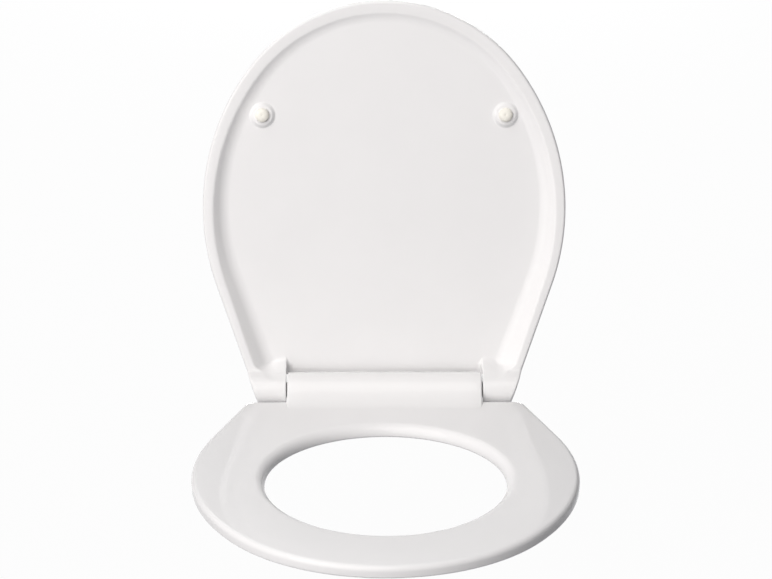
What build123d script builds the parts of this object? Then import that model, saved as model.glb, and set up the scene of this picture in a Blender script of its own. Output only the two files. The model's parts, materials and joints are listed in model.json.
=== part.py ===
from build123d import *
import os
from math import atan2, cos, degrees, radians, sin, sqrt, tan

# Toilet seat: a moulded ring and lid that turn on two hinge feet fixed to the pan.
# Millimetres. The origin is midway between the two fixing holes, on the pan's surface.
# +Z is up, the front of the seat points to -Y, and the lid stands open.

# Hinge and fixing
fixing_spacing = 155.0
axis_setback = 14.0
axis_height = 25.0
seat_raise_angle = 95.0
lid_open_angle = 107.0

# Plan of the ring and lid, measured forward from the hinge axis
seat_width = 370.0
seat_reach = 401.0
lid_reach = 397.0
front_radius = 172.0
shoulder_angle = 53.0
straight_side = 113.5
seat_rear = 22.0
rear_corner_radius = 12.0

# Opening in the ring
opening_width = 230.0
opening_centre = 204.0
opening_front = 126.5
opening_rear = 116.5

# Section of the ring
seat_drop = 3.0
seat_thickness = 12.5
outer_edge_radius = 5.0
inner_edge_radius = 10.0
under_edge_radius = 2.0

# Hinge barrel along the rear of the ring
barrel_radius = 18.2
barrel_length = 198.0
barrel_blend_radius = 36.0
barrel_end_radius = 1.5
slot_clearance = 1.0
slot_spare_angle = 5.0

# Section of the lid
lid_gap = 1.5
lid_slope = 1.6
knuckle_radius = 17.5
panel_slope = 1.9
panel_thickness = 3.5
panel_gap = 15.0
lip_width = 6.3
lip_edge_radius = 4.0
lip_drop = 1.0
recess_draft = 50.0
recess_floor_radius = 15.0
lid_top_radius = 4.0
lid_rim_radius = 3.0

# Hinge ears of the lid
ear_gap = 2.0
ear_width = 32.5
ear_slope = 44.0
ear_blend_radius = 15.0
ear_root = 60.0

# Buffers
lid_buffer_spacing = 248.0
lid_buffer_reach = 280.5
lid_buffer_diameter = 14.4
lid_buffer_height = 3.0
lid_buffer_gap = 0.3
lid_buffer_edge_radius = 2.5
lid_buffer_peg_diameter = 8.0
lid_buffer_peg_length = 5.0
lid_buffer_dimple_radius = 1.2
lid_buffer_dimple_depth = 0.8
lid_boss_diameter = 25.0
lid_boss_tip_diameter = 17.0
lid_boss_dome = 2.0
lid_boss_edge_radius = 1.2
lid_boss_blend_radius = 1.0
seat_buffer_length = 34.0
seat_buffer_width = 13.0
seat_buffer_edge_radius = 1.5
seat_buffer_front_angle = 50.0
seat_buffer_rear_angle = 35.0
seat_buffer_peg_diameter = 5.0
seat_buffer_peg_length = 6.0
seat_buffer_peg_spacing = 18.0

# Hinge feet and pins
gasket_thickness = 1.5
foot_base_radius = 20.0
foot_base_thickness = 4.0
foot_edge_radius = 1.0
post_thickness = 12.0
post_depth = 10.0
eye_radius = 8.5
pin_radius = 4.0
pin_inner_length = 10.0
pin_end_gap = 0.5
pin_chamfer = 0.6
running_clearance = 0.05
bush_radius = 6.0
bush_flange_radius = 8.0
flange_gap = 0.4
ear_bush_length = 20.0
cap_gap = 1.0

# Anchors in the pan's fixing holes
sleeve_radius = 6.75
sleeve_depth = 22.0
sleeve_neck_radius = 6.0
slit_width = 1.2
slit_length = 10.0
slit_angle = 45.0
cone_length = 6.0
cone_radius = 5.4
nut_radius = 6.0
nut_length = 5.0
screw_radius = 3.0
screw_clearance = 0.4
screw_head_radius = 5.75
screw_tip = 1.0
screw_socket_radius = 2.3
screw_socket_depth = 2.2

os.makedirs("parts", exist_ok=True)

SIDES = (("left", -1), ("right", 1))
fixing_x = fixing_spacing / 2
hinge_point = Vector(0, axis_setback, axis_height)


# Planes through the hinge axis, and planes across it
def leaf_plane(angle):
    """Plane of a leaf raised by an angle: x along the hinge axis, y to the rear, z out of its top."""
    lean = radians(angle)
    return Plane(origin=hinge_point, x_dir=(1, 0, 0), z_dir=(0, sin(lean), cos(lean)))


def side_plane(leaf, x):
    """Plane square to the hinge axis at x, with the leaf's y and z as its own x and y."""
    return Plane(origin=leaf.from_local_coords(Vector(x, 0, 0)), x_dir=leaf.y_dir, z_dir=leaf.x_dir)


seat_leaf = leaf_plane(0)
lid_leaf = leaf_plane(lid_open_angle)
top_leaf = leaf_plane(lid_open_angle - lid_slope)
panel_leaf = leaf_plane(lid_open_angle - panel_slope)
halfway_leaf = leaf_plane(lid_open_angle - panel_slope / 2)
ear_inner = barrel_length / 2 + ear_gap


def plan_outline(forward, rear):
    """Egg-shaped plan about the hinge axis, moved forward and cut off square at the rear.

    A front arc, a side arc tangent to it that reaches the full width, a second side arc that
    turns in, and a straight side, tangent to that arc, that passes the ear's outer end.
    """
    shoulder = sin(radians(shoulder_angle))
    side_radius = (seat_width / 2 - front_radius * shoulder) / (1 - shoulder)
    front_centre = front_radius - lid_reach - forward
    side_centre = front_centre + (side_radius - front_radius) * cos(radians(shoulder_angle))
    # The straight side meets the line of greatest width at a corner, which the second arc rounds
    ear_end = Vector(ear_inner + ear_width, -forward)
    side_run = straight_side + ear_end.Y - side_centre
    side_drop = (side_run**2 - (seat_width / 2 - ear_end.X) ** 2) / (2 * side_run)
    corner = Vector(seat_width / 2, ear_end.Y - side_drop)
    arc_reach = corner.Y - side_centre
    arc_end = corner + (ear_end - corner) * arc_reach / (arc_reach + straight_side)
    with BuildSketch() as plan:
        with BuildLine():
            CenterArc((0, front_centre), front_radius, -90, shoulder_angle)
            side = CenterArc(
                (seat_width / 2 - side_radius, side_centre),
                side_radius,
                shoulder_angle - 90,
                90 - shoulder_angle,
            )
            TangentArc(side @ 1, arc_end, tangent=(0, 1))
            straight = Line(arc_end, arc_end + (ear_end - arc_end) * 2)
            Line(straight @ 1, (0, (straight @ 1).Y))
            mirror(about=Plane.YZ)
        make_face()
        with Locations((0, rear)):
            Rectangle(
                2 * seat_width,
                2 * seat_reach,
                align=(Align.CENTER, Align.MIN),
                mode=Mode.SUBTRACT,
            )
    return plan.sketch


# Seat buffers stand on the middle line of the ring
def ring_middle(angle):
    """Point on the ring's middle line, and the direction of that line, at an angle from +X."""
    turn = radians(angle)
    half_ring = (seat_width - opening_width) / 4
    across = opening_width / 2 + half_ring
    along = opening_rear + half_ring
    if angle < 0:
        along = (opening_front + seat_reach - opening_centre) / 2
    point = Vector(across * cos(turn), along * sin(turn) - opening_centre)
    return point, degrees(atan2(along * cos(turn), -across * sin(turn)))


buffer_places = {}
for end, angle in (("front", -seat_buffer_front_angle), ("rear", seat_buffer_rear_angle)):
    point, heading = ring_middle(angle)
    for side, sign in SIDES:
        buffer_places[f"{end}_{side}"] = (sign * point.X, point.Y, sign * heading)

# Seat ring with its hinge barrel, one moulding
seat_top = -seat_drop
seat_bottom = seat_top - seat_thickness
round_room = 0.95 * (seat_thickness - under_edge_radius)
slot_width = post_thickness + 2 * slot_clearance
slot_outer = fixing_x + slot_width / 2
pin_inner_x = fixing_x - slot_width / 2 - pin_inner_length
blend_z = seat_top + barrel_blend_radius
blend_y = -sqrt((barrel_radius + barrel_blend_radius) ** 2 - blend_z**2)
blend_angle = degrees(atan2(-blend_z, -blend_y))

with BuildPart() as barrel:
    with BuildSketch(side_plane(seat_leaf, -barrel_length / 2)):
        Circle(barrel_radius)
        with BuildLine():
            blend = CenterArc((blend_y, blend_z), barrel_blend_radius, -90, 90 + blend_angle)
            Polyline(blend @ 1, (0, 0), (0, seat_bottom), (blend_y, seat_bottom), blend @ 0)
        make_face()
    extrude(amount=barrel_length)
    ends = barrel.faces().filter_by(Axis.X)
    fillet(ends.edges().filter_by(GeomType.CIRCLE), barrel_end_radius)

with BuildPart() as seat_ring:
    with BuildSketch(seat_leaf.offset(seat_bottom)) as ring_plan:
        add(plan_outline(seat_reach - lid_reach, -seat_rear))
        fillet(ring_plan.vertices().group_by(Axis.Y)[-1], rear_corner_radius)
        with BuildLine():
            EllipticalCenterArc((0, -opening_centre), opening_width / 2, opening_front, 180, arc_size=180)
            EllipticalCenterArc((0, -opening_centre), opening_width / 2, opening_rear, 0, arc_size=180)
        make_face(mode=Mode.SUBTRACT)
    extrude(amount=seat_thickness)
    lower = seat_ring.faces().sort_by(Axis.Z)[0]
    fillet(lower.edges(), under_edge_radius)
    upper = seat_ring.faces().sort_by(Axis.Z)[-1]
    fillet(upper.outer_wire().edges(), min(outer_edge_radius, round_room))
    upper = seat_ring.faces().sort_by(Axis.Z)[-1]
    fillet(upper.inner_wires()[0].edges(), min(inner_edge_radius, round_room))
    add(barrel.part)
    # Slots that let the barrel turn about the feet's posts
    slot_half = post_depth / 2 + slot_clearance
    slot_end = radians(seat_raise_angle - 90 + slot_spare_angle)
    slot_out = 2 * barrel_radius
    slot_edge = Vector(-sin(slot_end), cos(slot_end)) * slot_half
    for side, sign in SIDES:
        with BuildSketch(side_plane(seat_leaf, sign * fixing_x - slot_width / 2)):
            Circle(eye_radius + slot_clearance)
            with BuildLine():
                Polyline(
                    (-slot_half, 0),
                    (-slot_half, -slot_out),
                    (slot_out, -slot_out),
                    slot_edge + Vector(cos(slot_end), sin(slot_end)) * slot_out,
                    slot_edge,
                    close=True,
                )
            make_face()
        extrude(amount=slot_width, mode=Mode.SUBTRACT)
        # Bores for the bush and for the inner end of the pin
        with BuildSketch(side_plane(seat_leaf, sign * barrel_length / 2)):
            Circle(bush_radius)
        extrude(amount=-sign * (barrel_length / 2 - fixing_x), mode=Mode.SUBTRACT)
        with BuildSketch(side_plane(seat_leaf, sign * fixing_x)):
            Circle(pin_radius + running_clearance)
        extrude(amount=-sign * (fixing_x - pin_inner_x + pin_end_gap), mode=Mode.SUBTRACT)
    # Sockets for the buffers' pegs
    for x, y, heading in buffer_places.values():
        with BuildSketch(seat_leaf.offset(seat_bottom)):
            with Locations(Location((x, y, 0), (0, 0, heading))):
                with GridLocations(seat_buffer_peg_spacing, 0, 2, 1):
                    Circle(seat_buffer_peg_diameter / 2)
        extrude(amount=seat_buffer_peg_length, mode=Mode.SUBTRACT)
seat_ring.part.label = "seat_ring"
export_step(seat_ring.part, "parts/seat_ring.step")

# Lid, one moulding: a shallow shell with a lip, two ears and two buffer bosses
lid_rim = seat_top + lid_gap
tail = knuckle_radius + panel_gap
lid_up = Axis(hinge_point, lid_leaf.z_dir)
top_up = Axis(hinge_point, top_leaf.z_dir)
panel_up = Axis(hinge_point, panel_leaf.z_dir)
slope = radians(panel_slope)
boss_tip = seat_top + lid_buffer_gap + lid_buffer_height
boss_shoulder = boss_tip + lid_boss_dome
boss_root = (knuckle_radius - panel_thickness / 2 - lid_buffer_reach * sin(slope)) / cos(slope)

# The plan of the lid as a tall block, with the rounded edge of the lid's top
with BuildPart() as lid_block:
    with BuildSketch(lid_leaf.offset(-2 * knuckle_radius)):
        add(plan_outline(0, tail))
    extrude(amount=4 * knuckle_radius)
    split(bisect_by=top_leaf.offset(knuckle_radius), keep=Keep.BOTTOM)
    crown = lid_block.faces().sort_by(top_up)[-1]
    fillet(crown.edges(), lid_top_radius)

# The hollow under the panel, with sloping walls and a rounded floor, open at the rear.
# Its walls lean about a plane halfway between lip and panel, so the lip widens to the front.
with BuildPart() as recess:
    with BuildSketch(halfway_leaf.offset(lid_rim - lip_drop)):
        add(plan_outline(0, tail))
        start_inset = lip_width - lip_drop * tan(radians(recess_draft))
        offset(amount=-start_inset, kind=Kind.INTERSECTION, mode=Mode.REPLACE)
    extrude(amount=2 * knuckle_radius, taper=recess_draft)
    split(bisect_by=panel_leaf.offset(knuckle_radius - panel_thickness), keep=Keep.BOTTOM)
    floor = recess.faces().sort_by(panel_up)[-1]
    fillet(floor.edges(), recess_floor_radius)

# The side view of the ears: a knuckle round the pin and a web up to the panel
web = radians(ear_slope)
knuckle_touch = Vector(-sin(web), -cos(web)) * knuckle_radius
under_height = (knuckle_radius - panel_thickness) / cos(slope)
web_run = (under_height - knuckle_touch.Y + knuckle_touch.X * sin(slope) / cos(slope)) / (
    sin(web) + cos(web) * sin(slope) / cos(slope)
)
web_top = knuckle_touch + Vector(-cos(web), sin(web)) * web_run
panel_run = Vector(-cos(slope), -sin(slope)) * (ear_root + web_top.X)
top_slope = radians(lid_slope)
top_touch = Vector(-sin(top_slope), cos(top_slope)) * knuckle_radius
with BuildPart() as ear:
    with BuildSketch(side_plane(lid_leaf, ear_inner)) as ear_side:
        with BuildLine():
            Polyline(
                top_touch,
                top_touch + Vector(-cos(top_slope), -sin(top_slope)) * ear_root,
                web_top + panel_run,
                web_top,
                knuckle_touch,
                (0, 0),
                close=True,
            )
        make_face()
        fillet(ear_side.vertices().sort_by_distance(web_top)[0], ear_blend_radius)
        Circle(knuckle_radius)
    extrude(amount=seat_width)
    add(lid_block.part, mode=Mode.INTERSECT)

with BuildPart() as lid:
    add(lid_block.part)
    split(bisect_by=lid_leaf.offset(lid_rim), keep=Keep.TOP)
    add(recess.part, mode=Mode.SUBTRACT)
    lip = lid.faces().sort_by(lid_up)[0]
    fillet(lip.inner_wires()[0].edges(), min(lip_edge_radius, lip_width))
    rim = lid.faces().sort_by(lid_up)[0]
    fillet(rim.outer_wire().edges(), min(lid_rim_radius, lip_width / 2))
    # Clear of the barrel between the ears
    with BuildSketch(lid_leaf.offset(lid_rim)):
        with Locations((0, -panel_gap)):
            Rectangle(2 * seat_width, 2 * seat_reach, align=(Align.CENTER, Align.MIN))
    extrude(amount=2 * knuckle_radius, mode=Mode.SUBTRACT)
    add(ear.part)
    add(mirror(ear.part, about=Plane.YZ))
    # Domed bosses that hold the buffers
    for side, sign in SIDES:
        boss_foot = lid_leaf.from_local_coords(Vector(sign * lid_buffer_spacing / 2, -lid_buffer_reach, 0))
        with BuildSketch(Plane(boss_foot, x_dir=lid_leaf.x_dir, z_dir=-lid_leaf.y_dir)) as boss_half:
            with BuildLine():
                Polyline(
                    (0, boss_tip),
                    (lid_boss_tip_diameter / 2, boss_tip),
                    (lid_boss_diameter / 2, boss_shoulder),
                    (lid_boss_diameter / 2, boss_root),
                    (0, boss_root),
                    close=True,
                )
            make_face()
            shoulder_corner = boss_half.vertices().sort_by_distance((lid_boss_diameter / 2, boss_shoulder))[0]
            fillet(shoulder_corner, lid_boss_edge_radius)
        revolve(axis=Axis(boss_foot, lid_leaf.z_dir))
        fillet(lid.edges(Select.LAST).filter_by(GeomType.ELLIPSE), lid_boss_blend_radius)
        with BuildSketch(lid_leaf.offset(boss_tip)):
            with Locations((sign * lid_buffer_spacing / 2, -lid_buffer_reach)):
                Circle(lid_buffer_peg_diameter / 2)
        extrude(amount=lid_buffer_peg_length, mode=Mode.SUBTRACT)
    # Bores for the bushes and caps, right through the ears
    for side, sign in SIDES:
        with BuildSketch(side_plane(lid_leaf, sign * ear_inner)):
            Circle(bush_radius)
        extrude(amount=sign * seat_width, mode=Mode.SUBTRACT)
lid.part.label = "lid"
export_step(lid.part, "parts/lid.step")

# Round buffers under the lid, pressed into the bosses
for side, sign in SIDES:
    with BuildPart() as lid_buffer:
        with BuildSketch(lid_leaf.offset(boss_tip)):
            with Locations((sign * lid_buffer_spacing / 2, -lid_buffer_reach)):
                Circle(lid_buffer_diameter / 2)
        extrude(amount=-lid_buffer_height)
        fillet(lid_buffer.faces().sort_by(lid_up)[0].edges(), lid_buffer_edge_radius)
        with BuildSketch(lid_leaf.offset(boss_tip)):
            with Locations((sign * lid_buffer_spacing / 2, -lid_buffer_reach)):
                Circle(lid_buffer_peg_diameter / 2)
        extrude(amount=lid_buffer_peg_length)
        with BuildSketch(lid_leaf.offset(boss_tip - lid_buffer_height)):
            with Locations((sign * lid_buffer_spacing / 2, -lid_buffer_reach)):
                Circle(lid_buffer_dimple_radius)
        extrude(amount=lid_buffer_dimple_depth, mode=Mode.SUBTRACT)
    lid_buffer.part.label = f"lid_buffer_{side}"
    export_step(lid_buffer.part, f"parts/lid_buffer_{side}.step")

# Bars under the ring that rest on the pan's rim, held by two pegs each
for place, (x, y, heading) in buffer_places.items():
    with BuildPart() as seat_buffer:
        with BuildSketch(seat_leaf.offset(seat_bottom)):
            with Locations(Location((x, y, 0), (0, 0, heading))):
                SlotOverall(seat_buffer_length, seat_buffer_width)
        extrude(amount=-(axis_height + seat_bottom))
        fillet(seat_buffer.faces().sort_by(Axis.Z)[0].edges(), seat_buffer_edge_radius)
        with BuildSketch(seat_leaf.offset(seat_bottom)):
            with Locations(Location((x, y, 0), (0, 0, heading))):
                with GridLocations(seat_buffer_peg_spacing, 0, 2, 1):
                    Circle(seat_buffer_peg_diameter / 2)
        extrude(amount=seat_buffer_peg_length)
    seat_buffer.part.label = f"seat_buffer_{place}"
    export_step(seat_buffer.part, f"parts/seat_buffer_{place}.step")

# Hinge feet: a round base, and a post with an eye that holds the pin
base_top = gasket_thickness + foot_base_thickness
screw_hole_radius = screw_radius + screw_clearance
for side, sign in SIDES:
    with BuildPart() as hinge_foot:
        with BuildSketch(Plane.XY.offset(gasket_thickness)):
            with Locations((sign * fixing_x, 0)):
                Circle(foot_base_radius)
        extrude(amount=foot_base_thickness)
        fillet(hinge_foot.faces().sort_by(Axis.Z)[-1].edges(), foot_edge_radius)
        with BuildSketch(side_plane(seat_leaf, sign * fixing_x - post_thickness / 2)):
            Circle(eye_radius)
            Rectangle(post_depth, axis_height - gasket_thickness, align=(Align.CENTER, Align.MAX))
        extrude(amount=post_thickness)
        with BuildSketch(side_plane(seat_leaf, sign * fixing_x - post_thickness / 2)):
            Circle(pin_radius)
        extrude(amount=post_thickness, mode=Mode.SUBTRACT)
        with Locations((sign * fixing_x, 0, base_top)):
            CounterSinkHole(screw_hole_radius, screw_head_radius, foot_base_thickness, 90)
    hinge_foot.part.label = f"hinge_foot_{side}"
    export_step(hinge_foot.part, f"parts/hinge_foot_{side}.step")

# Hinge pins, fixed in the feet and reaching out through the barrel into the ears
pin_outer_x = ear_inner + ear_bush_length - pin_end_gap
for side, sign in SIDES:
    with BuildPart() as hinge_pin:
        with BuildSketch(side_plane(seat_leaf, sign * pin_inner_x)):
            Circle(pin_radius)
        extrude(amount=sign * (pin_outer_x - pin_inner_x))
        chamfer(hinge_pin.edges().filter_by(GeomType.CIRCLE), pin_chamfer)
    hinge_pin.part.label = f"hinge_pin_{side}"
    export_step(hinge_pin.part, f"parts/hinge_pin_{side}.step")

# Flanged bushes: one in each end of the barrel, and one in each ear, flange to flange
flange = (ear_gap - flange_gap) / 2
bushes = (
    ("barrel_bush", barrel_length / 2, slot_outer - barrel_length / 2),
    ("ear_bush", ear_inner, ear_bush_length),
)
for name, face_x, length in bushes:
    inward = length / abs(length)
    for side, sign in SIDES:
        with BuildPart() as bush:
            with BuildSketch(side_plane(seat_leaf, sign * face_x)):
                Circle(bush_radius)
            extrude(amount=sign * length)
            with BuildSketch(side_plane(seat_leaf, sign * face_x)):
                Circle(bush_flange_radius)
            extrude(amount=-sign * inward * flange)
            with BuildSketch(side_plane(seat_leaf, 0)):
                Circle(pin_radius + running_clearance)
            extrude(amount=sign * seat_width, mode=Mode.SUBTRACT)
        bush.part.label = f"{name}_{side}"
        export_step(bush.part, f"parts/{name}_{side}.step")

# Caps that close the ears' bores, flush with the lid's side
for side, sign in SIDES:
    with BuildPart() as ear_cap:
        with BuildSketch(side_plane(lid_leaf, sign * (ear_inner + ear_bush_length + cap_gap))):
            Circle(bush_radius)
        extrude(amount=sign * seat_width)
        add(lid_block.part, mode=Mode.INTERSECT)
    ear_cap.part.label = f"ear_cap_{side}"
    export_step(ear_cap.part, f"parts/ear_cap_{side}.step")

# Soft washers between the feet and the pan
for side, sign in SIDES:
    with BuildPart() as foot_gasket:
        with BuildSketch():
            with Locations((sign * fixing_x, 0)):
                Circle(foot_base_radius)
                Circle(sleeve_neck_radius, mode=Mode.SUBTRACT)
        extrude(amount=gasket_thickness)
    foot_gasket.part.label = f"foot_gasket_{side}"
    export_step(foot_gasket.part, f"parts/foot_gasket_{side}.step")

# Split sleeves that swell and grip the holes as the nuts are drawn up into them
cone_top = cone_length - sleeve_depth
for side, sign in SIDES:
    fixing_point = Vector(sign * fixing_x, 0, 0)
    fixing_axis = Axis(fixing_point, (0, 0, 1))
    with BuildPart() as sleeve:
        with BuildSketch(Plane.XZ.move(Location(fixing_point))):
            with BuildLine():
                Polyline(
                    (screw_hole_radius, gasket_thickness),
                    (sleeve_neck_radius, gasket_thickness),
                    (sleeve_neck_radius, 0),
                    (sleeve_radius, 0),
                    (sleeve_radius, -sleeve_depth),
                    (cone_radius, -sleeve_depth),
                    (screw_hole_radius, cone_top),
                    close=True,
                )
            make_face()
        revolve(axis=fixing_axis)
        with BuildSketch(Plane.XY.offset(-sleeve_depth)):
            with Locations(Location((sign * fixing_x, 0, 0), (0, 0, slit_angle))):
                Rectangle(2 * sleeve_radius, slit_width)
                Rectangle(slit_width, 2 * sleeve_radius)
        extrude(amount=slit_length, mode=Mode.SUBTRACT)
    sleeve.part.label = f"expanding_sleeve_{side}"
    export_step(sleeve.part, f"parts/expanding_sleeve_{side}.step")

    with BuildPart() as cone_nut:
        with BuildSketch(Plane.XZ.move(Location(fixing_point))):
            with BuildLine():
                Polyline(
                    (screw_radius, cone_top),
                    (screw_hole_radius, cone_top),
                    (cone_radius, -sleeve_depth),
                    (nut_radius, -sleeve_depth),
                    (nut_radius, -sleeve_depth - nut_length),
                    (screw_radius, -sleeve_depth - nut_length),
                    close=True,
                )
            make_face()
        revolve(axis=fixing_axis)
    cone_nut.part.label = f"cone_nut_{side}"
    export_step(cone_nut.part, f"parts/cone_nut_{side}.step")

    screw_end = -sleeve_depth - nut_length - screw_tip
    with BuildPart() as fixing_screw:
        with BuildSketch(Plane.XZ.move(Location(fixing_point))):
            with BuildLine():
                Polyline(
                    (0, base_top),
                    (screw_head_radius, base_top),
                    (screw_radius, base_top - screw_head_radius + screw_radius),
                    (screw_radius, screw_end),
                    (0, screw_end),
                    close=True,
                )
            make_face()
        revolve(axis=fixing_axis)
        with BuildSketch(Plane.XY.offset(base_top)):
            with Locations((sign * fixing_x, 0)):
                RegularPolygon(screw_socket_radius, 6)
        extrude(amount=-screw_socket_depth, mode=Mode.SUBTRACT)
    fixing_screw.part.label = f"fixing_screw_{side}"
    export_step(fixing_screw.part, f"parts/fixing_screw_{side}.step")
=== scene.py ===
import json

import bmesh
import bpy
import numpy as np
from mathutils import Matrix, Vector
from mathutils.geometry import tessellate_polygon


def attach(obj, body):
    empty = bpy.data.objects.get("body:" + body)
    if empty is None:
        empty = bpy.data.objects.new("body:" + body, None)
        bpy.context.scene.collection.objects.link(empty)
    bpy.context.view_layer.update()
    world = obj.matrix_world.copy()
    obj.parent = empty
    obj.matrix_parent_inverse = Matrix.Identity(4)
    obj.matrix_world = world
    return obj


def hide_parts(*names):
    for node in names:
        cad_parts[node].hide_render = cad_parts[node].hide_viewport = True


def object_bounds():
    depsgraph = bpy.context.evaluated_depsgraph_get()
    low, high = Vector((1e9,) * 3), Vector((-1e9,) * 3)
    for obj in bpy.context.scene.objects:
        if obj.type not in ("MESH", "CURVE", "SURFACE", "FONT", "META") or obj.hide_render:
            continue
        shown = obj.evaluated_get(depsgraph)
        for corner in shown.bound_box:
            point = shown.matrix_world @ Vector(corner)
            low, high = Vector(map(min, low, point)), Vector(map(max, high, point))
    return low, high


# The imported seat. Its hinge axis runs along X, and the lid stands open by the whole
# range of its hinge. Everything below is in metres, in the same frame.
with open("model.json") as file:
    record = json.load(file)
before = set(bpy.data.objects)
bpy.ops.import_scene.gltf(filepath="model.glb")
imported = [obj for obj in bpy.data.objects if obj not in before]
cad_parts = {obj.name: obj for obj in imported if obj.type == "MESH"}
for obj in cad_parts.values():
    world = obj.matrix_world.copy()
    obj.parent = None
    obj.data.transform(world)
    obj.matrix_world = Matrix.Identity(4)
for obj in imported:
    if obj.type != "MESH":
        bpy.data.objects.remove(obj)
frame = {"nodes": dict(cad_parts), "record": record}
cad_low, cad_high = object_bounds()
joints = {joint["name"]: joint for joint in frame["record"]["behaviour"]["joints"]}
hinge = np.array(joints["lid_hinge"]["pos_m"])
lid_open = np.radians(joints["lid_hinge"]["range_deg"][1])

# The view: a long lens in front of the seat and a little above it, held level.
# Its length and place were fitted to the outlines of the ring, the hole and the lid.
photo_width = 772
focal_pixels = 2577.0
centre_pixel = 384.5
sensor = 36.0
view_rise = np.radians(20.07)
view_turn = np.radians(0.31)
view_distance = 2.6
aim_height = 0.1092

camera = bpy.data.cameras.new("camera")
camera.sensor_width = sensor
camera.lens = focal_pixels / photo_width * sensor
camera.shift_x = 0.5 - centre_pixel / photo_width
viewer = bpy.data.objects.new("camera", camera)
back = view_distance * np.cos(view_rise)
viewer.location = (
    -back * np.sin(view_turn),
    hinge[1] - back * np.cos(view_turn),
    hinge[2] + aim_height + view_distance * np.sin(view_rise),
)
viewer.rotation_euler = (np.pi / 2 - view_rise, 0, -view_turn)
bpy.context.scene.collection.objects.link(viewer)
bpy.context.scene.camera = viewer

# Fixings: under each hinge foot a soft grey washer, and in the pan's hole a grey nylon sleeve
# that a countersunk stainless screw spreads by drawing a brass cone nut up into it.
washer_grey = (0.13, 0.135, 0.14)
nylon_grey = (0.36, 0.38, 0.4)
brass_yellow = (0.62, 0.43, 0.17)
steel_grey = (0.6, 0.6, 0.59)
washer_roughness = 0.7
noise_low = 0.3
noise_high = 0.7
turning_stretch = 0.02


def new_finish(name, roughness, metallic=0.0):
    """A material with one shader, of a set roughness."""
    material = bpy.data.materials.new(name)
    material.use_nodes = True
    shader = material.node_tree.nodes["Principled BSDF"]
    shader.inputs["Roughness"].default_value = roughness
    shader.inputs["Metallic"].default_value = metallic
    return material


def cells(material, per_metre, detail=2.0, stretch=(1, 1, 1)):
    """Noise on the piece's own coordinates: a number of cells per metre, stretched along X, Y and Z."""
    tree = material.node_tree
    place = tree.nodes.new("ShaderNodeTexCoord")
    scale = tree.nodes.new("ShaderNodeMapping")
    scale.inputs["Scale"].default_value = stretch
    noise = tree.nodes.new("ShaderNodeTexNoise")
    noise.inputs["Scale"].default_value = per_metre
    noise.inputs["Detail"].default_value = detail
    tree.links.new(place.outputs["Object"], scale.inputs["Vector"])
    tree.links.new(scale.outputs["Vector"], noise.inputs["Vector"])
    return noise.outputs["Fac"]


def mottle(material, noise, colour, spread):
    """Base colour that runs from a little darker to a little lighter than a colour, by a noise."""
    tree = material.node_tree
    ramp = tree.nodes.new("ShaderNodeValToRGB")
    stops = zip(ramp.color_ramp.elements, (noise_low, noise_high), (1 - spread, 1 + spread))
    for stop, place, share in stops:
        stop.position = place
        stop.color = (*[min(1.0, value * share) for value in colour], 1)
    tree.links.new(noise, ramp.inputs["Fac"])
    tree.links.new(ramp.outputs["Color"], tree.nodes["Principled BSDF"].inputs["Base Color"])


def vary_roughness(material, noise, low, high):
    """Roughness that runs from low to high over the middle of a noise."""
    tree = material.node_tree
    spread = tree.nodes.new("ShaderNodeMapRange")
    limits = {"From Min": noise_low, "From Max": noise_high, "To Min": low, "To Max": high}
    for name, value in limits.items():
        spread.inputs[name].default_value = value
    tree.links.new(noise, spread.inputs["Value"])
    tree.links.new(spread.outputs["Result"], tree.nodes["Principled BSDF"].inputs["Roughness"])


def ripple(material, noise, height):
    """Raises the surface by a noise, up to a height, on top of any ripple that it has."""
    tree = material.node_tree
    bump = tree.nodes.new("ShaderNodeBump")
    bump.inputs["Distance"].default_value = height
    normal = tree.nodes["Principled BSDF"].inputs["Normal"]
    if normal.is_linked:
        tree.links.new(normal.links[0].from_socket, bump.inputs["Normal"])
    tree.links.new(noise, bump.inputs["Height"])
    tree.links.new(bump.outputs["Normal"], normal)


def dress(material, *pieces):
    """Puts a material on the left and right of each named piece."""
    for piece in pieces:
        for side in ("left", "right"):
            for slot in frame["nodes"][f"{piece}_{side}"].material_slots:
                slot.material = material


def soft_rubber(name, colour, roughness):
    """Dull moulded rubber: cloudy colour, and a fine grain from the mould."""
    material = new_finish(name, roughness)
    uneven = 0.08
    mottle(material, cells(material, per_metre=90), colour, spread=0.05)
    vary_roughness(material, cells(material, per_metre=300), roughness - uneven, roughness + uneven)
    ripple(material, cells(material, per_metre=2500), height=0.00004)
    return material


def satin_nylon(name, colour):
    """Moulded nylon: a satin skin with faint flow marks and a fine grain."""
    material = new_finish(name, roughness=0.42)
    mottle(material, cells(material, per_metre=60, stretch=(1, 1, 4)), colour, spread=0.03)
    vary_roughness(material, cells(material, per_metre=220), low=0.34, high=0.5)
    ripple(material, cells(material, per_metre=1800), height=0.00002)
    return material


def turned_metal(name, colour, along):
    """Turned metal: fine rings across the bar's length, and a slightly uneven polish."""
    material = new_finish(name, roughness=0.28, metallic=1.0)
    mottle(material, cells(material, per_metre=150), colour, spread=0.06)
    vary_roughness(material, cells(material, per_metre=120), low=0.2, high=0.36)
    stretch = [1.0 if axis == along else turning_stretch for axis in range(3)]
    ripple(material, cells(material, per_metre=4000, stretch=stretch), height=0.000012)
    return material


dress(soft_rubber("washer_rubber", washer_grey, washer_roughness), "foot_gasket")
dress(satin_nylon("sleeve_nylon", nylon_grey), "expanding_sleeve")
dress(turned_metal("nut_brass", brass_yellow, along=2), "cone_nut")
dress(turned_metal("screw_stainless", steel_grey, along=2), "fixing_screw")

# Hinge feet of white satin nylon, with a stainless pin through the eye of each foot.
# White bushes run on the pins, in the ends of the ring's barrel and in the lid's ears.
nylon_white = (0.8, 0.805, 0.81)

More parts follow.
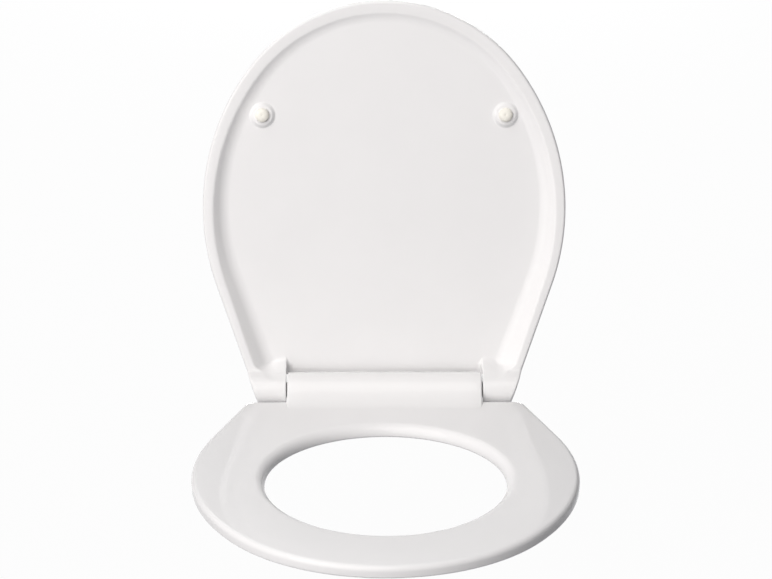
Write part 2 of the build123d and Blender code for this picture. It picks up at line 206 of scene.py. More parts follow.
dress(satin_nylon("hinge_nylon", nylon_white), "hinge_foot", "barrel_bush", "ear_bush")
dress(turned_metal("pin_stainless", steel_grey, along=0), "hinge_pin")

# Seat ring: one glossy white moulding, an egg-shaped ring with a slightly crowned top and a
# round hinge barrel along its rear that a wide hollow curve joins to the ring.
half_width = 0.185
front_radius = 0.172
shoulder = np.radians(53)
lid_reach = 0.397
ear_end = 0.1335
straight_side = 0.1135
seat_lead = 0.004
seat_rear = 0.022
rear_corner_radius = 0.012
opening_half = 0.115
opening_y = -0.204
opening_front = 0.1265
opening_rear = 0.1165
seat_top = -0.003
seat_bottom = -0.0155
seat_crown = 0.0011
outer_edge_radius = 0.005
inner_edge_radius = 0.01
under_edge_radius = 0.002
barrel_radius = 0.0182
barrel_half = 0.099
barrel_blend_radius = 0.036
barrel_end_radius = 0.0018
barrel_lift = 0.00005
fixing_x = 0.0775
slot_half_width = 0.007
slot_half_depth = 0.006
slot_radius = 0.0095
slot_end = np.radians(10)
bush_radius = 0.006
pin_radius = 0.00405
pin_bore_end = 0.06
crown_fade_start = np.radians(45)
crown_fade = np.radians(35)
barrel_points = 12
weld_distance = 2e-6
sliver_length = 1e-7
resin_white = (0.85, 0.842, 0.842)
resin_shine = 0.15

side_radius = (half_width - front_radius * np.sin(shoulder)) / (1 - np.sin(shoulder))
front_y = front_radius - lid_reach
side_y = front_y + (side_radius - front_radius) * np.cos(shoulder)
side_run = straight_side - side_y
side_drop = (side_run**2 - (half_width - ear_end) ** 2) / (2 * side_run)
taper = np.arctan((half_width - ear_end) / side_drop)
turn_radius = (-side_drop - side_y) / np.tan(taper / 2)


def egg(turns, rows, inset):
    """Right half of the egg-shaped plan, from the front tip to the rear, moved in by an inset.

    By turn: a front arc up to the shoulder, then a side arc up to the widest point. By row: an arc
    that turns in, then a straight side tangent to it. Insets run along their last axis.
    """
    turn_inset, row_inset = np.split(inset, [len(turns)], axis=-1)
    front = turns < shoulder
    radius = np.where(front, front_radius, side_radius) - turn_inset
    turn_x = np.where(front, 0, half_width - side_radius) + radius * np.sin(turns)
    turn_y = np.where(front, front_y, side_y) - radius * np.cos(turns)
    bend = turn_radius - row_inset
    rise = rows - side_y
    bent = half_width - turn_radius + np.sqrt(np.maximum(bend**2 - rise**2, 0))
    straight = ear_end - rows * np.tan(taper) - row_inset / np.cos(taper)
    row_x = np.where(rise < bend * np.sin(taper), bent, straight)
    row_y = np.broadcast_to(rows, row_x.shape)
    return np.concatenate([turn_x, row_x], axis=-1), np.concatenate([turn_y, row_y], axis=-1)


def rounded(before, corner, after, radius, steps):
    """Arc that rounds a corner between two straight runs, as a rational quadratic curve.

    Its ends lie the radius over the tangent of half the inner angle from the corner, and the
    corner's weight is the sine of that half angle, which makes it a circle.
    """
    first = (before - corner) / np.linalg.norm(before - corner, axis=-1, keepdims=True)
    last = (after - corner) / np.linalg.norm(after - corner, axis=-1, keepdims=True)
    half = np.arccos(np.clip((first * last).sum(-1, keepdims=True), -1, 1)) / 2
    reach = radius / np.tan(half)
    s = np.linspace(0, 1, steps).reshape((-1,) + (1,) * corner.ndim)
    weight = 2 * s * (1 - s) * np.sin(half)
    curve = (1 - s) ** 2 * (corner + first * reach) + weight * corner + s**2 * (corner + last * reach)
    return curve / ((1 - s) ** 2 + weight + s**2)


def quads(rows, columns, around=False, closed=False):
    """Corner numbers of a grid's quads, wrapped round its rows or its columns where it closes."""
    i = np.arange(rows if closed else rows - 1)[:, None]
    j = np.arange(columns if around else columns - 1)[None, :]
    i_next, j_next = (i + 1) % rows, (j + 1) % columns
    corners = [i * columns + j, i_next * columns + j, i_next * columns + j_next, i * columns + j_next]
    return np.stack(np.broadcast_arrays(*corners), axis=-1).reshape(-1, 4)


class Shells:
    """Grids and flat faces, gathered into one mesh whose seams are then welded."""

    def __init__(self):
        """Starts with no points and no faces."""
        self.points = []
        self.faces = []
        self.count = 0

    def add(self, points, faces):
        """Adds points, and faces whose corner numbers are moved up past the points before."""
        points = np.asarray(points, float).reshape(-1, 3)
        self.faces += (np.asarray(faces) + self.count).tolist()
        self.points.append(points)
        self.count += len(points)

    def grid(self, points, around=False, closed=False):
        """A grid of points in rows and columns, filled with quads."""
        self.add(points, quads(*points.shape[:2], around=around, closed=closed))

    def flat(self, outline, *holes):
        """A flat face in an outline of points, with holes."""
        loops = [outline, *holes]
        self.add(np.concatenate(loops), tessellate_polygon([loop.tolist() for loop in loops]))

    def piece(self, name, material, sharp_angle=np.radians(38)):
        """The finished object: doubles merged, faces turned outwards, smooth up to a sharp angle."""
        mesh = bpy.data.meshes.new(name)
        mesh.from_pydata(np.concatenate(self.points).tolist(), [], self.faces)
        work = bmesh.new()
        work.from_mesh(mesh)
        bmesh.ops.remove_doubles(work, verts=work.verts, dist=weld_distance)
        bmesh.ops.dissolve_degenerate(work, edges=work.edges, dist=sliver_length)
        bmesh.ops.recalc_face_normals(work, faces=work.faces)
        work.to_mesh(mesh)
        work.free()
        mesh.shade_smooth()
        mesh.set_sharp_from_angle(angle=sharp_angle)
        mesh.materials.append(material)
        made = bpy.data.objects.new(name, mesh)
        bpy.context.scene.collection.objects.link(made)
        return made


def gloss_resin(name, colour):
    """Pressed white resin: a clear gloss, a hardly cloudy colour and the slow waves of a moulding."""
    material = new_finish(name, roughness=0.05)
    material.node_tree.nodes["Principled BSDF"].inputs["Specular IOR Level"].default_value = resin_shine
    mottle(material, cells(material, per_metre=14, detail=4), colour, spread=0.008)
    vary_roughness(material, cells(material, per_metre=45), low=0.04, high=0.06)
    ripple(material, cells(material, per_metre=16, detail=1), height=0.00012)
    ripple(material, cells(material, per_metre=700), height=0.000002)
    return material


resin = gloss_resin("moulding_resin", resin_white)
ring_shells = Shells()

# Plan of the ring: outline points with the direction of their outward normals
front_turns = np.linspace(0, shoulder, num=60)
side_turns = np.linspace(shoulder, np.pi / 2, num=40)
turns = np.concatenate([front_turns, side_turns[1:]])
rear_line = seat_lead - seat_rear
corner_turn = np.pi / 2 - taper
corner_reach = rear_corner_radius * np.tan(corner_turn / 2)
rows = np.linspace(side_y, rear_line - corner_reach * np.cos(taper), num=56)[1:]
egg_x, egg_y = egg(turns, rows, np.zeros(len(turns) + len(rows)))
egg_normal = np.concatenate([
    turns - np.pi / 2,
    np.minimum(np.arcsin(np.clip((rows - side_y) / turn_radius, 0, 1)), taper),
])
corner_normal = np.linspace(taper, np.pi / 2, num=14)[1:]
corner_x = egg_x[-1] + rear_corner_radius * (np.cos(corner_normal) - np.cos(taper))
corner_y = egg_y[-1] + rear_corner_radius * (np.sin(corner_normal) - np.sin(taper))
rear_x = np.linspace(corner_x[-1], 0, num=30)[1:]
half_x = np.concatenate([egg_x, corner_x, rear_x])
half_y = np.concatenate([egg_y, corner_y, np.full(len(rear_x), corner_y[-1])]) - seat_lead
half_normal = np.concatenate([egg_normal, corner_normal, np.full(len(rear_x), np.pi / 2)])
outline = np.stack([
    np.concatenate([half_x, -half_x[-2:0:-1]]),
    np.concatenate([half_y, half_y[-2:0:-1]]),
], axis=-1)
normal_angle = np.concatenate([half_normal, np.pi - half_normal[-2:0:-1]])
outline_out = np.stack([np.cos(normal_angle), np.sin(normal_angle)], axis=-1)

# Edge of the opening: two half ellipses, met by the line from their centre to each outline point
bearing = np.arctan2(outline[:, 1] - opening_y, outline[:, 0])
opening_long = np.where(bearing < 0, opening_front, opening_rear)
opening_reach = 1 / np.hypot(np.cos(bearing) / opening_half, np.sin(bearing) / opening_long)
rim = np.stack([opening_reach * np.cos(bearing), opening_y + opening_reach * np.sin(bearing)], axis=-1)
rim_out = np.stack([rim[:, 0] / opening_half**2, (rim[:, 1] - opening_y) / opening_long**2], axis=-1)
rim_out /= np.linalg.norm(rim_out, axis=-1, keepdims=True)

# The crown, a parabola across the ring, fades out behind the opening, where the barrel's curve begins
rear_bearing = np.abs(np.arctan2(np.sin(bearing - np.pi / 2), np.cos(bearing - np.pi / 2)))
fade = np.clip((rear_bearing - crown_fade_start) / crown_fade, 0, 1)
crown = seat_crown * fade**2 * (3 - 2 * fade)
slope = 4 * crown / np.linalg.norm(outline - rim, axis=-1)


def edge(start, corner_height, end, radius, steps):
    """Rounded edge in section: distance in from the side and height, for every outline point."""
    corner = np.stack([np.zeros_like(crown), np.broadcast_to(corner_height, crown.shape)], axis=-1)
    return rounded(corner + start, corner, corner + end, radius, steps)


rise = np.stack([np.ones_like(slope), slope], axis=-1)
inward, upward = np.array([1.0, 0]), np.array([0, 1.0])
edge_height = seat_top - crown
outer = np.concatenate([
    edge(inward, seat_bottom, upward, under_edge_radius, steps=6),
    edge(-upward, edge_height, rise, outer_edge_radius, steps=12),
])
inner = np.concatenate([
    edge(rise, edge_height, -upward, inner_edge_radius, steps=16),
    edge(upward, seat_bottom, inward, under_edge_radius, steps=6),
])
outer_points = np.dstack([outline - outline_out * outer[..., :1], outer[..., 1]])
inner_points = np.dstack([rim + rim_out * inner[..., :1], inner[..., 1]])
across = np.linspace(0, 1, num=18)[1:-1, None, None]
top_points = outer_points[-1] * (1 - across) + inner_points[0] * across
top_rise = seat_top - (outer_points[-1, :, 2] + inner_points[0, :, 2]) / 2
top_points[..., 2] += (4 * across * (1 - across))[..., 0] * top_rise
below = np.linspace(0, 1, num=8)[1:-1, None, None]
bottom_points = inner_points[-1] * (1 - below) + outer_points[0] * below
ring_loops = np.concatenate([outer_points, top_points, inner_points, bottom_points])
ring_shells.grid(ring_loops + hinge, around=True, closed=True)

# Section of the barrel, in Y and Z about the hinge axis, as points with outward normals
blend_z = seat_top + barrel_blend_radius
blend_y = -np.sqrt((barrel_radius + barrel_blend_radius) ** 2 - blend_z**2)
touch = np.arctan2(blend_z, blend_y)
floor_z = seat_bottom + barrel_lift
slot_lip = np.sqrt(barrel_radius**2 - slot_half_depth**2)
slot_root = np.sqrt(slot_radius**2 - slot_half_depth**2)
mouth_top = slot_end + np.arctan2(slot_half_depth, slot_lip)
mouth_foot = -np.arctan2(slot_lip, -slot_half_depth)
root_top = slot_end + np.arctan2(slot_half_depth, slot_root)
root_foot = 2 * np.pi - np.arctan2(slot_root, -slot_half_depth)
floor_turn = -np.pi + np.arcsin(-floor_z / barrel_radius)


def arc(centre_y, centre_z, radius, start, end, steps, side=1):
    """Arc in the side view with its normals: outwards from the centre, or towards it for a hollow."""
    turn = np.linspace(start, end, steps)
    out = np.stack([np.cos(turn), np.sin(turn)], axis=-1)
    return np.array([centre_y, centre_z]) + radius * out, side * out


def run(*corners):
    """Straight runs through corners, with normals to the left of the way."""
    points = np.array(corners, float)
    way = np.gradient(points, axis=0)
    way /= np.linalg.norm(way, axis=-1, keepdims=True)
    return points, np.stack([-way[:, 1], way[:, 0]], axis=-1)


def chain(*stretches):
    """One line of points and normals from several stretches."""
    return np.concatenate([s[0] for s in stretches]), np.concatenate([s[1] for s in stretches])


top_part = chain(
    arc(blend_y, blend_z, barrel_blend_radius, -np.pi / 2, touch - np.pi, steps=22, side=-1),
    arc(0, 0, barrel_radius, touch, mouth_top, steps=24),
)
mouth_part = arc(0, 0, barrel_radius, mouth_top, mouth_foot, steps=26)
foot_part = chain(
    arc(0, 0, barrel_radius, mouth_foot, floor_turn, steps=5),
    run((blend_y, floor_z), (blend_y, seat_top)),
)
root_part = chain(
    arc(0, 0, barrel_radius, mouth_top, mouth_top, steps=1),
    arc(0, 0, slot_radius, root_top, root_foot, steps=26),
    arc(0, 0, barrel_radius, mouth_foot, mouth_foot, steps=1),
)


def end_steps(radius, steps=6):
    """Distance from the end and inset of the section, over a rounded end, from the face inwards."""
    turn = np.linspace(np.pi / 2, 0, steps)
    return radius * (1 - np.sin(turn)), radius * (1 - np.cos(turn))


def carry(part, x, inset):
    """Carries a line of the section along X, drawn in by an inset at each place."""
    points, normals = part
    side = points[None] - normals[None] * np.asarray(inset)[:, None, None]
    along = np.broadcast_to(np.asarray(x)[:, None, None], side.shape[:2] + (1,))
    return np.concatenate([along, side], axis=-1) + hinge


def circle(x, radius, steps=40):
    """Ring of points round the hinge axis."""
    turn = np.linspace(0, 2 * np.pi, steps, endpoint=False)
    points = np.stack([np.full(steps, x), radius * np.cos(turn), radius * np.sin(turn)], axis=-1)
    return points + hinge


end_gap, end_inset = end_steps(barrel_end_radius)
slot_sides = (fixing_x - slot_half_width, fixing_x + slot_half_width)
mid_places = np.linspace(0, slot_sides[0], barrel_points)
mid_insets = np.zeros(barrel_points)
end_places = np.concatenate([[slot_sides[1]], (barrel_half - end_gap)[::-1]])
end_insets = np.concatenate([[0], end_inset[::-1]])
places = np.concatenate([mid_places, end_places])
insets = np.concatenate([mid_insets, end_insets])
end_line = chain(top_part, mouth_part, foot_part)
for sign in (-1, 1):
    ring_shells.grid(carry(top_part, sign * places, insets))
    ring_shells.grid(carry(foot_part, sign * places, insets))
    ring_shells.grid(carry(mouth_part, sign * mid_places, mid_insets))
    ring_shells.grid(carry(mouth_part, sign * end_places, end_insets))
    ring_shells.grid(carry(root_part, sign * np.array(slot_sides), (0, 0)))
    for x, bore in zip(slot_sides, (pin_radius, bush_radius)):
        mouth = carry(mouth_part, [sign * x], [0])[0]
        root = carry(root_part, [sign * x], [0])[0]
        ring_shells.flat(np.concatenate([mouth, root[-2:0:-1]]), circle(sign * x, bore))
    end_face = carry(end_line, [sign * barrel_half], end_inset[:1])[0]
    ring_shells.flat(end_face, circle(sign * barrel_half, bush_radius))
    bush_bore = np.stack([circle(sign * x, bush_radius) for x in (slot_sides[1], barrel_half)])
    pin_bore = np.stack([circle(sign * x, pin_radius) for x in (slot_sides[0], pin_bore_end)])
    ring_shells.grid(bush_bore, around=True)
    ring_shells.grid(pin_bore, around=True)
    ring_shells.flat(circle(sign * pin_bore_end, pin_radius))

ring_piece = ring_shells.piece("seat_ring_moulding", resin)
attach(ring_piece, "seat")
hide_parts("seat_ring")

# Seat buffers: four soft off-white bars, pressed into the ring's underside by their pegs,
# on which the ring rests on the pan.
buffer_cream = (0.91, 0.885, 0.81)
buffer_roughness = 0.5

buffer_rubber = soft_rubber("buffer_rubber", buffer_cream, buffer_roughness)
dress(buffer_rubber, "seat_buffer_front", "seat_buffer_rear")

# Lid: one glossy white moulding, a shallow shell with a flat lip and sloping walls round its
# hollow, a round hinge ear at each rear corner and two low bosses that hold its buffers.
lid_rim = -0.0015
knuckle_radius = 0.0175
lid_slope = np.radians(1.6)
panel_slope = np.radians(1.45)
panel_thickness = 0.0055
panel_end = -0.015
roll_end = -0.0172
end_roll = 0.018
end_lift = 0.0053
wall_middle = 0.0157
wall_slope = np.radians(40)
lip_lean = np.radians(6)
lip_edge_radius = 0.005
floor_radius = 0.019
lid_top_radius = 0.004
side_rim_radius = 0.0026
tip_rim_radius = 0.0036
wall_room = 0.97
wall_rounds = 8
direction_step = 0.01
panel_share = np.concatenate([np.linspace(0, 0.94, num=12), [0.975, 1]])[:, None]
lid_shells = Shells()


def opened(points):
    """Turns points of the closed lid about the hinge axis to where the lid stands open."""
    x, y, z = np.moveaxis(points, -1, 0)
    turned_y = y * np.cos(lid_open) + z * np.sin(lid_open)
    turned_z = z * np.cos(lid_open) - y * np.sin(lid_open)
    return np.stack([x, turned_y, turned_z], axis=-1) + hinge


def top_plane(y):
    """Height of the lid's outer face over its hinge axis."""
    return knuckle_radius / np.cos(lid_slope) + y * np.tan(lid_slope)


def under_plane(y):
    """Height over the hinge axis of the plane of the panel's underside."""
    return knuckle_radius / np.cos(panel_slope) - panel_thickness + y * np.tan(panel_slope)


def panel_face(y):
    """Height of the panel's underside, which rolls away from its plane at the rear, by the way cubed."""
    way = np.clip((y - roll_end) / end_roll + 1, 0, 1)
    return under_plane(y) + end_lift * way**3


# The shell: a section that is carried round the egg-shaped plan. Its wall keeps one middle line, and is as
# steep as its two roundings leave room for. The insets of the wall's foot and lip settle in a few rounds.
lid_front_turns = np.linspace(0, shoulder, num=64)
lid_side_turns = np.linspace(shoulder, np.pi / 2, num=44)
lid_turns = np.concatenate([lid_front_turns, lid_side_turns[1:]])
lid_rows = np.concatenate([
    np.linspace(side_y, roll_end - end_roll, num=64)[1:],
    np.linspace(roll_end - end_roll, roll_end, num=18)[1:],
    [panel_end],
])
stations = len(lid_turns) + len(lid_rows)
zero = np.zeros(stations)
tip_share = np.concatenate([np.cos(lid_turns), np.zeros(len(lid_rows))])
edge_y = egg(lid_turns, lid_rows, zero)[1]
foot_inset = lip_inset = zero + wall_middle
for _ in range(wall_rounds):
    foot_y = egg(lid_turns, lid_rows, foot_inset)[1]
    lip_height = lid_rim + lip_inset * np.tan(lip_lean) * tip_share
    depth = panel_face(foot_y) - lip_height
    steepest = np.arccos(1 - np.minimum(wall_room * depth / (lip_edge_radius + floor_radius), 1))
    half_run = depth / (2 * np.tan(np.minimum(wall_slope, steepest)))
    foot_inset, lip_inset = wall_middle + half_run, wall_middle - half_run
foot_y = egg(lid_turns, lid_rows, foot_inset)[1]
floor_y = egg(lid_turns, lid_rows, foot_inset + direction_step)[1]
crown_y = egg(lid_turns, lid_rows, zero + direction_step)[1]
lip_corner = np.stack([lip_inset, lip_height], axis=-1)
foot_corner = np.stack([foot_inset, panel_face(foot_y)], axis=-1)
floor_ahead = np.stack([foot_inset + direction_step, panel_face(floor_y)], axis=-1)
rim_corner = np.stack([zero, zero + lid_rim], axis=-1)
top_corner = np.stack([zero, top_plane(edge_y)], axis=-1)
top_ahead = np.stack([zero + direction_step, top_plane(crown_y)], axis=-1)
rim_radius = side_rim_radius + (tip_rim_radius - side_rim_radius) * tip_share[:, None]
section = np.concatenate([
    rounded(floor_ahead, foot_corner, lip_corner, floor_radius, steps=16),
    rounded(foot_corner, lip_corner, rim_corner, lip_edge_radius, steps=10),
    rounded(lip_corner, rim_corner, top_corner, rim_radius, steps=10),
    rounded(rim_corner, top_corner, top_ahead, lid_top_radius, steps=12),
])
section_x, section_y = egg(lid_turns, lid_rows, section[..., 0])
shell = np.stack([section_x, section_y, section[..., 1]], axis=-1)


def panel(border, height):
    """Rows from the middle line out to a border, at set shares of the way, at a height by row."""
    x = border[:, 0] * panel_share
    y = np.broadcast_to(border[:, 1], x.shape)
    return np.stack([x, y, height(y)], axis=-1)


under_panel = panel(shell[0], panel_face)
top_panel = panel(shell[-1], top_plane)
half_lid = np.concatenate([under_panel, shell[1:-1], top_panel[::-1]])
for sign in (-1, 1):
    lid_shells.grid(opened(half_lid * (sign, 1, 1)))
lid_end = np.concatenate([half_lid[:, -1], half_lid[-2:0:-1, -1] * (-1, 1, 1)])
lid_shells.flat(opened(lid_end))

# The ears: a knuckle round the pin, with a cheek that runs up from it into the lip. The hollow
# ends at each ear in a wall like its sides, with a round corner between the two.
ear_inner = 0.1003
web_crest = np.radians(41)
web_width = 0.023
pocket_x = 0.1335
pocket_wall = 0.012
pocket_draw = 0.005
pocket_turn = 0.02
face_start = np.radians(28)
cheek_slope = np.radians(60)
cheek_ease = 0.003
edge_ease = 0.0007
ear_inner_radius = 0.001
ear_sink = 0.00004
ear_lap = 0.012
crown_lap = 0.003
hidden_lap = 0.004
knuckle_points = 60
crown_ease_points = 24
rounding_points = 9
bore_points = 40

cove_run = floor_radius * np.sin(wall_slope)
cove_rise = floor_radius * (1 - np.cos(wall_slope))
crest_y, crest_z = -knuckle_radius * np.sin(web_crest), -knuckle_radius * np.cos(web_crest)
web_reach = cove_run + (under_plane(crest_y) - crest_z - cove_rise) / np.tan(wall_slope)
web_foot = crest_y - web_width
cheek_touch = knuckle_radius * np.array([-np.sin(cheek_slope), -np.cos(cheek_slope)])


def ear_face(x, y):
    """Height of an ear's underside: the higher of a wall and the cheek, with the edge eased.

    The wall falls from the hollow's floor by the distance to it, over a cove and then a straight slope.
    The distance is the cube root of the summed cubes of the ways in from the side and from the end. The way
    in from the end is stretched to finish at a crest line on the knuckle: by a little at the inner face and
    by more in the pocket's corner, where the crest curves round to the lip. The cheek is the lower of the
    lip and a slope that runs off the round of the knuckle, with the corner eased.
    """
    inset = (ear_end - y * np.tan(taper) - x) * np.cos(taper)
    floor_edge = wall_middle + (under_plane(y) - lid_rim) / (2 * np.tan(wall_slope))
    floor_edge = floor_edge + floor_radius * np.tan(wall_slope / 2)
    crest = crest_y - pocket_draw * np.clip((x - pocket_x) / pocket_turn + 1, 0, 1) ** 2
    near = np.clip((x - ear_inner) / (pocket_x - ear_inner), 0, 1)
    width = web_width + (pocket_wall - web_width) * near**2 * (3 - 2 * near)
    side = np.maximum(floor_edge - inset, 0)
    end = web_reach * np.maximum(y - crest + width, 0) / width
    distance = (side**3 + end**3) ** (1 / 3)
    cove = floor_radius - np.sqrt(floor_radius**2 - np.minimum(distance, cove_run) ** 2)
    wall = under_plane(y) - cove - np.maximum(distance - cove_run, 0) * np.tan(wall_slope)
    slope = cheek_touch[1] + (cheek_touch[0] - y) * np.tan(cheek_slope)
    ramp = np.where(y < cheek_touch[0], slope, -np.sqrt(np.maximum(knuckle_radius**2 - y**2, 0)))
    ease = np.maximum(cheek_ease - np.abs(ramp - lid_rim), 0)
    cheek = np.minimum(ramp, lid_rim) - ease**2 / (4 * cheek_ease)
    ease = np.maximum(edge_ease - np.abs(wall - cheek), 0)
    return np.maximum(wall, cheek) + ease**2 / (4 * edge_ease) - ear_sink


ear_front = web_foot - ear_lap
hidden_y = panel_end - hidden_lap
hidden = np.array([
    (ear_front, under_plane(ear_front) + panel_thickness / 2),
    (hidden_y, top_plane(panel_end) - panel_thickness / 2),
    (hidden_y, top_plane(hidden_y) - ear_sink),
])
top_y = np.linspace(panel_end - crown_lap, 0, num=10)
under_y = np.linspace(-knuckle_radius * np.sin(face_start), ear_front, num=70)[1:]
ear_line, ear_out = chain(
    (np.stack([top_y, top_plane(top_y) - ear_sink], axis=-1), np.tile((0.0, 1.0), (len(top_y), 1))),
    arc(0, 0, knuckle_radius - ear_sink, np.pi / 2, -np.pi / 2 - face_start, knuckle_points),
    (np.stack([under_y, np.zeros_like(under_y)], axis=-1), np.tile((0.0, -1.0), (len(under_y), 1))),
    (hidden, np.zeros_like(hidden)),
)
face_first = len(top_y) + knuckle_points
facing = slice(face_first, face_first + len(under_y))


def ear_shell(sign):
    """An ear: its side view carried from the inner face to the tapered side of the lid, edges rounded."""
    crown_part = len(top_y)
    rounding = np.full(len(ear_line), side_rim_radius)
    rounding[:crown_part] = lid_top_radius
    easing = np.linspace(lid_top_radius, side_rim_radius, crown_ease_points)
    rounding[crown_part : crown_part + crown_ease_points] = easing
    turn = np.linspace(0, np.pi / 2, rounding_points)[:, None]
    across = np.linspace(0, 1, num=30)[1:-1, None]
    ends = (rounding_points, len(ear_line))
    inner_inset = np.broadcast_to(ear_inner_radius * (1 - np.cos(turn[::-1])), ends)
    outer_inset = rounding * (1 - np.cos(turn))
    inset = np.concatenate([inner_inset, np.zeros((len(across), len(ear_line))), outer_inset])
    yz = ear_line - ear_out * inset[..., None]
    inner_x = np.broadcast_to(ear_inner + ear_inner_radius * (1 - np.sin(turn[::-1])), ends)
    outer_y = yz[-rounding_points:, :, 0]
    outer_x = ear_end - outer_y * np.tan(taper) - ear_sink - rounding * (1 - np.sin(turn))
    x = np.concatenate([inner_x, inner_x[-1] * (1 - across) + outer_x[0] * across, outer_x])
    yz[:, facing, 1] = ear_face(x[:, facing], yz[:, facing, 0]) + inset[:, facing]
    return np.concatenate([x[..., None], yz], axis=-1) * (sign, 1, 1)


bore_turn = np.linspace(0, 2 * np.pi, bore_points, endpoint=False)
bore_y, bore_z = bush_radius * np.cos(bore_turn), bush_radius * np.sin(bore_turn)
bore_outer_x = ear_end - bore_y * np.tan(taper) - ear_sink
for sign in (-1, 1):
    skin = ear_shell(sign)
    bore = np.stack([
        np.stack([sign * np.full(bore_points, ear_inner), bore_y, bore_z], axis=-1),
        np.stack([sign * bore_outer_x, bore_y, bore_z], axis=-1),
    ])
    lid_shells.grid(opened(skin), around=True)
    lid_shells.grid(opened(bore), around=True)
    lid_shells.flat(opened(skin[0]), opened(bore[0]))
    lid_shells.flat(opened(skin[-1]), opened(bore[1]))

# Hollow curves in the corners between the ears' inner faces and the panel
ear_side_fillet = 0.0055
fillet_share = 0.75
fillet_least = 0.0002
fillet_lap = 0.001

fillet_rows = np.linspace(panel_end, web_foot + fillet_lap, num=30)
fillet_floor = panel_face(fillet_rows)
ear_height = fillet_floor - ear_face(ear_inner, fillet_rows)
fillet_radius = np.clip(fillet_share * ear_height, fillet_least, ear_side_fillet)
fillet_turn = np.linspace(0, np.pi / 2, rounding_points)[:, None]
fillet_x = np.concatenate([
    ear_inner - fillet_radius * (1 - np.cos(fillet_turn)),
    np.full((1, len(fillet_rows)), ear_inner + fillet_lap),
])
fillet_z = np.concatenate([
    fillet_floor - fillet_radius * (1 - np.sin(fillet_turn)),
    fillet_floor[None] + fillet_lap,
])
fillet_skin = np.stack([fillet_x, np.broadcast_to(fillet_rows, fillet_x.shape), fillet_z], axis=-1)
for sign in (-1, 1):
    skin = opened(fillet_skin * (sign, 1, 1))
    lid_shells.grid(skin, closed=True)
    lid_shells.flat(skin[:, 0])
    lid_shells.flat(skin[:, -1])


def turned(profile, x, y, steps=72):
    """Turns a profile of radius and height about an axis at x and y, sheared to sit along the panel."""
    turn = np.linspace(0, 2 * np.pi, steps, endpoint=False)
    radius, height = profile[:, 0, None], profile[:, 1, None]
    ahead = radius * np.sin(turn)
    return np.stack([x + radius * np.cos(turn), y + ahead, height + ahead * np.tan(panel_slope)], axis=-1)


# The bosses that hold the buffers, rooted in the panel: flat tops with a flank that falls by a cosine
boss_x = 0.124
boss_y = -0.2805
boss_radius = 0.0138
boss_top_radius = 0.0092
boss_height = 0.0026
boss_flat_share = 0.8
root_depth = 0.00005

boss_root = under_plane(boss_y) + root_depth
boss_tip = boss_root - boss_height
flank = np.linspace(0, 1, num=16)
boss_profile = np.concatenate([
    [(0, boss_tip), (boss_top_radius * boss_flat_share, boss_tip)],
    np.stack([
        boss_top_radius + (boss_radius - boss_top_radius) * flank,
        boss_root - boss_height * (0.5 + 0.5 * np.cos(np.pi * flank)),
    ], axis=-1),
    [(boss_radius, boss_root + panel_thickness / 2), (0, boss_root + panel_thickness / 2)],
])
for sign in (-1, 1):
    lid_shells.grid(opened(turned(boss_profile, sign * boss_x, boss_y)), around=True)

lid_piece = lid_shells.piece("lid_moulding", resin)
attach(lid_piece, "cover")
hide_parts("lid")

# Lid buffers: soft cream buttons pressed into the bosses, rounded, with a small dimple
# in the middle where each was gated in its mould.
button_radius = 0.0072
button_height = 0.005
button_power = 2.8
dimple_radius = 0.0016
dimple_depth = 0.0005
peg_radius = 0.004
peg_length = 0.003

button_base = boss_tip + root_depth
button_turn = np.linspace(0, np.pi / 2, num=28)
dome_radius = button_radius * np.sin(button_turn) ** (2 / button_power)
dome_height = button_height * np.cos(button_turn) ** (2 / button_power)
dimple = 0.5 + 0.5 * np.cos(np.pi * np.minimum(dome_radius / dimple_radius, 1))
button_profile = np.concatenate([
    np.stack([dome_radius, boss_tip - dome_height + dimple_depth * dimple], axis=-1),
    [(button_radius, button_base), (peg_radius, button_base)],
    [(peg_radius, button_base + peg_length), (0, button_base + peg_length)],
])
for side, sign in (("left", -1), ("right", 1)):
    button_shells = Shells()
    button_shells.grid(opened(turned(button_profile, sign * boss_x, boss_y, steps=48)), around=True)
    button = button_shells.piece(f"lid_buffer_button_{side}", buffer_rubber)
    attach(button, "cover")
    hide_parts(f"lid_buffer_{side}")

# Ear caps: short plugs of the same white resin that close the ears' bores, flush with the
# lid's sides.
dress(resin, "ear_cap")

# Studio: a wide floor that is white to the camera but keeps a soft shadow, a dim cool surround, and
# three soft lamps: a large one at the upper left in front, one above and behind, one low behind the lid.
floor_drop = 0.135
floor_size = 30.0
floor_white = (0.29, 0.29, 0.31)
shadow_share = 0.03
surround_light = 0.065
surround_tint = (0.86, 0.91, 1.0)
lamp_aim = Vector((0, 0, 0.15))
lamps = (
    ("key", (-1.86, -3.02, 3.1), (4.6, 7.0), 329.0, (1.0, 0.98, 0.965)),
    ("back", (-0.5, 2.2, 2.8), (2.4, 2.4), 30.0, (0.94, 0.97, 1.0)),
    ("rear", (0.0, 3.0, 0.3), (1.4, 0.5), 46.0, (1.0, 0.99, 0.98)),
)

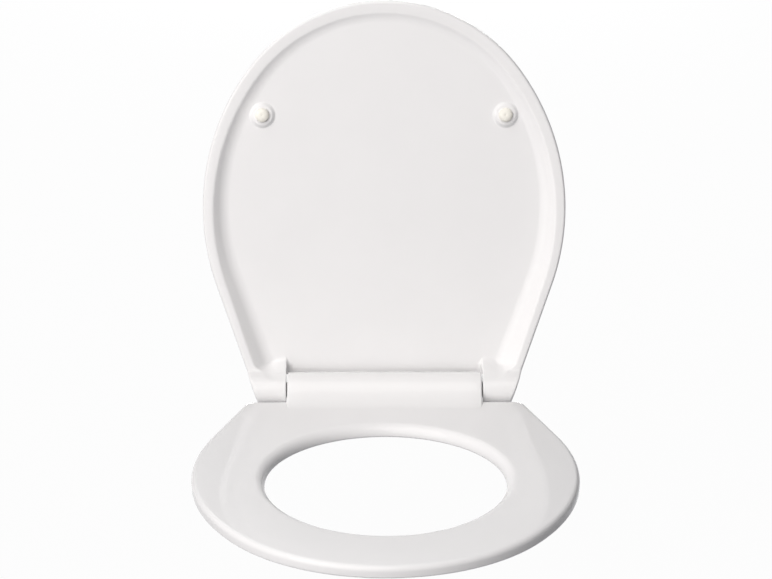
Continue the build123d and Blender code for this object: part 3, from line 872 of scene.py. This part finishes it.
floor_mesh = bpy.data.meshes.new("floor")
corner_sign = np.array([(-1, -1), (1, -1), (1, 1), (-1, 1)])
floor_level = np.full((4, 1), cad_low.z - floor_drop)
floor_mesh.from_pydata(np.hstack([corner_sign * floor_size / 2, floor_level]).tolist(), [], [(0, 1, 2, 3)])
floor = bpy.data.objects.new("floor", floor_mesh)
bpy.context.scene.collection.objects.link(floor)


def seen_white(tree):
    """1 for rays from the camera, or off gloss and through glass, that should see a white floor."""
    path = tree.nodes.new("ShaderNodeLightPath")
    total = path.outputs["Is Camera Ray"]
    for name in ("Is Glossy Ray", "Is Transmission Ray"):
        either = tree.nodes.new("ShaderNodeMath")
        either.operation = "MAXIMUM"
        tree.links.new(total, either.inputs[0])
        tree.links.new(path.outputs[name], either.inputs[1])
        total = either.outputs[0]
    return total


floor_finish = new_finish("floor_white", roughness=0.9)
tree = floor_finish.node_tree
mottle(floor_finish, cells(floor_finish, per_metre=3), floor_white, spread=0.005)
glow = tree.nodes.new("ShaderNodeEmission")
mix = tree.nodes.new("ShaderNodeMixShader")
white_share = tree.nodes.new("ShaderNodeMath")
white_share.operation = "MULTIPLY"
white_share.inputs[1].default_value = 1 - shadow_share
tree.links.new(seen_white(tree), white_share.inputs[0])
tree.links.new(white_share.outputs[0], mix.inputs["Fac"])
tree.links.new(tree.nodes["Principled BSDF"].outputs["BSDF"], mix.inputs[1])
tree.links.new(glow.outputs["Emission"], mix.inputs[2])
tree.links.new(mix.outputs["Shader"], tree.nodes["Material Output"].inputs["Surface"])
floor_mesh.materials.append(floor_finish)

world = bpy.data.worlds.new("surround")
world.use_nodes = True
tree = world.node_tree
tree.nodes["Background"].inputs["Strength"].default_value = surround_light
tree.nodes["Background"].inputs["Color"].default_value = (*surround_tint, 1)
bpy.context.scene.world = world

for name, place, size, power, tint in lamps:
    lamp = bpy.data.lights.new(name, "AREA")
    lamp.shape = "RECTANGLE"
    lamp.size, lamp.size_y = size
    lamp.energy = power
    lamp.color = tint
    holder = bpy.data.objects.new(name, lamp)
    holder.location = place
    holder.rotation_euler = (lamp_aim - holder.location).to_track_quat("-Z", "Y").to_euler()
    bpy.context.scene.collection.objects.link(holder)

bpy.context.scene.view_settings.view_transform = "Standard"
